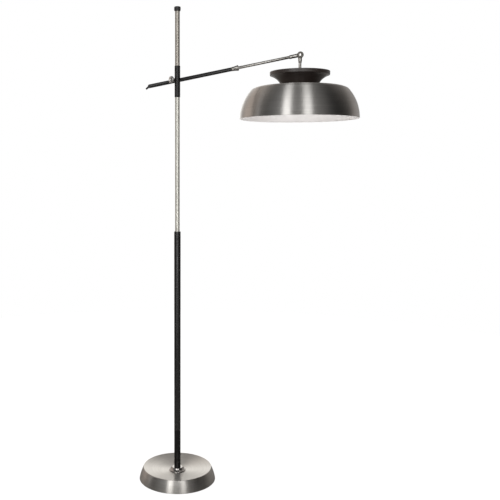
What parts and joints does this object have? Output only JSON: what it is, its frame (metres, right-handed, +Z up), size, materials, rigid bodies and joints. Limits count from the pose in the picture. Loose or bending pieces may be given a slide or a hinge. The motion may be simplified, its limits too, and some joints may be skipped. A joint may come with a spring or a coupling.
{
  "type": "pharmacy floor lamp",
  "caption": "Floor lamp with a weighted round base, a straight pole, a sliding sleeve, a tilting telescopic arm and a wide spun metal shade under a flared dish.",
  "frame": {"origin": "on the floor under the pole's axis, at the centre of the felt pad's underside", "axes": "+Z up along the pole, +X along the arm towards the shade as stored, -Y the front, where the clamp knob is"},
  "size_m": [0.751, 0.403, 1.6345],
  "materials": {
    "brushed_nickel": "satin, brushed round the axis",
    "chrome": "polished",
    "black_enamel": "satin black",
    "black_plastic": "moulded, fine grain",
    "nylon": "natural nylon",
    "cast_iron": "as cast",
    "felt": "pressed felt",
    "zinc_steel": "zinc plated",
    "brass": "turned",
    "shade_metal": "spun and brushed outside, white enamel inside",
    "bronze_enamel": "satin dark bronze",
    "phenolic": "moulded phenolic",
    "lamp_glass": "frosted",
    "lamp_base": "plated thread"
  },
  "bodies": {
    "root": {"base_cover": "brushed_nickel", "base_weight": "cast_iron", "base_pad": "felt", "base_washer": "zinc_steel", "base_nut": "zinc_steel", "tie_nipple": "brass", "collar_nut": "chrome", "tube_plug": "zinc_steel", "lower_tube": "black_enamel", "joint_bush": "zinc_steel", "lower_bush": "zinc_steel", "upper_tube": "brushed_nickel", "top_cap": "black_plastic"},
    "lift": {"upper_liner": "black_plastic", "lower_liner": "black_plastic"},
    "swivel": {"sleeve": "black_enamel", "screw_boss": "black_enamel", "pivot_saddle": "zinc_steel", "pivot_screw": "zinc_steel", "friction_washer": "zinc_steel"},
    "clamp_feed": {"brake_pad": "nylon"},
    "clamp_screw": {"clamp_screw": "chrome", "clamp_knob": "chrome"},
    "arm": {"arm_ring": "black_enamel", "arm_tube": "black_enamel", "ring_screw": "zinc_steel", "tail_cap": "black_plastic", "collet_body": "brass"},
    "collet_nut": {"collet_nut": "chrome"},
    "rod_guide": {"rod_guide": "nylon"},
    "rod": {"rod": "chrome", "knuckle_rear": "chrome"},
    "shade": {"knuckle_front": "chrome", "knuckle_screw": "chrome", "knuckle_washer": "zinc_steel", "knuckle_nut": "chrome", "stem": "chrome", "dish": "bronze_enamel", "shade": "shade_metal", "upper_shade_ring": "brass", "lower_shade_ring": "brass", "holder_cap": "phenolic", "holder_body": "phenolic", "screw_shell": "brass", "centre_contact": "brass", "lamp_base": "lamp_base", "lamp_glass": "lamp_glass"},
    "switch_key": {"switch_key": "phenolic"}
  },
  "joints": [
    {"name": "sleeve_lift", "type": "slide", "parent": "root", "child": "lift", "axis": [0, 0, 1], "range_m": [-0.45, 0.175]},
    {"name": "sleeve_swivel", "type": "hinge", "parent": "lift", "child": "swivel", "pos_m": [0, 0, 1.395], "axis": [0, 0, 1], "continuous": true},
    {"name": "screw_feed", "type": "slide", "parent": "swivel", "child": "clamp_feed", "axis": [-0.766, -0.6428, 0], "range_m": [0, 0.001]},
    {"name": "screw_turn", "type": "hinge", "parent": "clamp_feed", "child": "clamp_screw", "pos_m": [0, 0, 1.395], "axis": [-0.766, -0.6428, 0], "range_deg": [0, 360]},
    {"name": "arm_tilt", "type": "hinge", "parent": "swivel", "child": "arm", "pos_m": [0, 0.022, 1.3968], "axis": [0, 1, 0], "range_deg": [-25, 45]},
    {"name": "collet_turn", "type": "hinge", "parent": "arm", "child": "collet_nut", "pos_m": [0.19598, 0.022, 1.43667], "axis": [0.9799, 0, 0.1994], "range_deg": [-180, 0]},
    {"name": "rod_slide", "type": "slide", "parent": "arm", "child": "rod_guide", "axis": [0.9799, 0, 0.1994], "range_m": [-0.155, 0.025]},
    {"name": "rod_roll", "type": "hinge", "parent": "rod_guide", "child": "rod", "pos_m": [0.11759, 0.022, 1.42072], "axis": [0.9799, 0, 0.1994], "range_deg": [-60, 60]},
    {"name": "shade_tilt", "type": "hinge", "parent": "rod", "child": "shade", "pos_m": [0.41451, 0.022, 1.48113], "axis": [0, 1, 0], "range_deg": [-90, 5]},
    {"name": "switch_turn", "type": "hinge", "parent": "shade", "child": "switch_key", "pos_m": [0.41451, 0, 1.38813], "axis": [0, -1, 0], "continuous": true}
  ],
  "couplings": [
    {"joint": "screw_turn", "follows": "screw_feed", "rad_per_m": 6283.2}
  ]
}
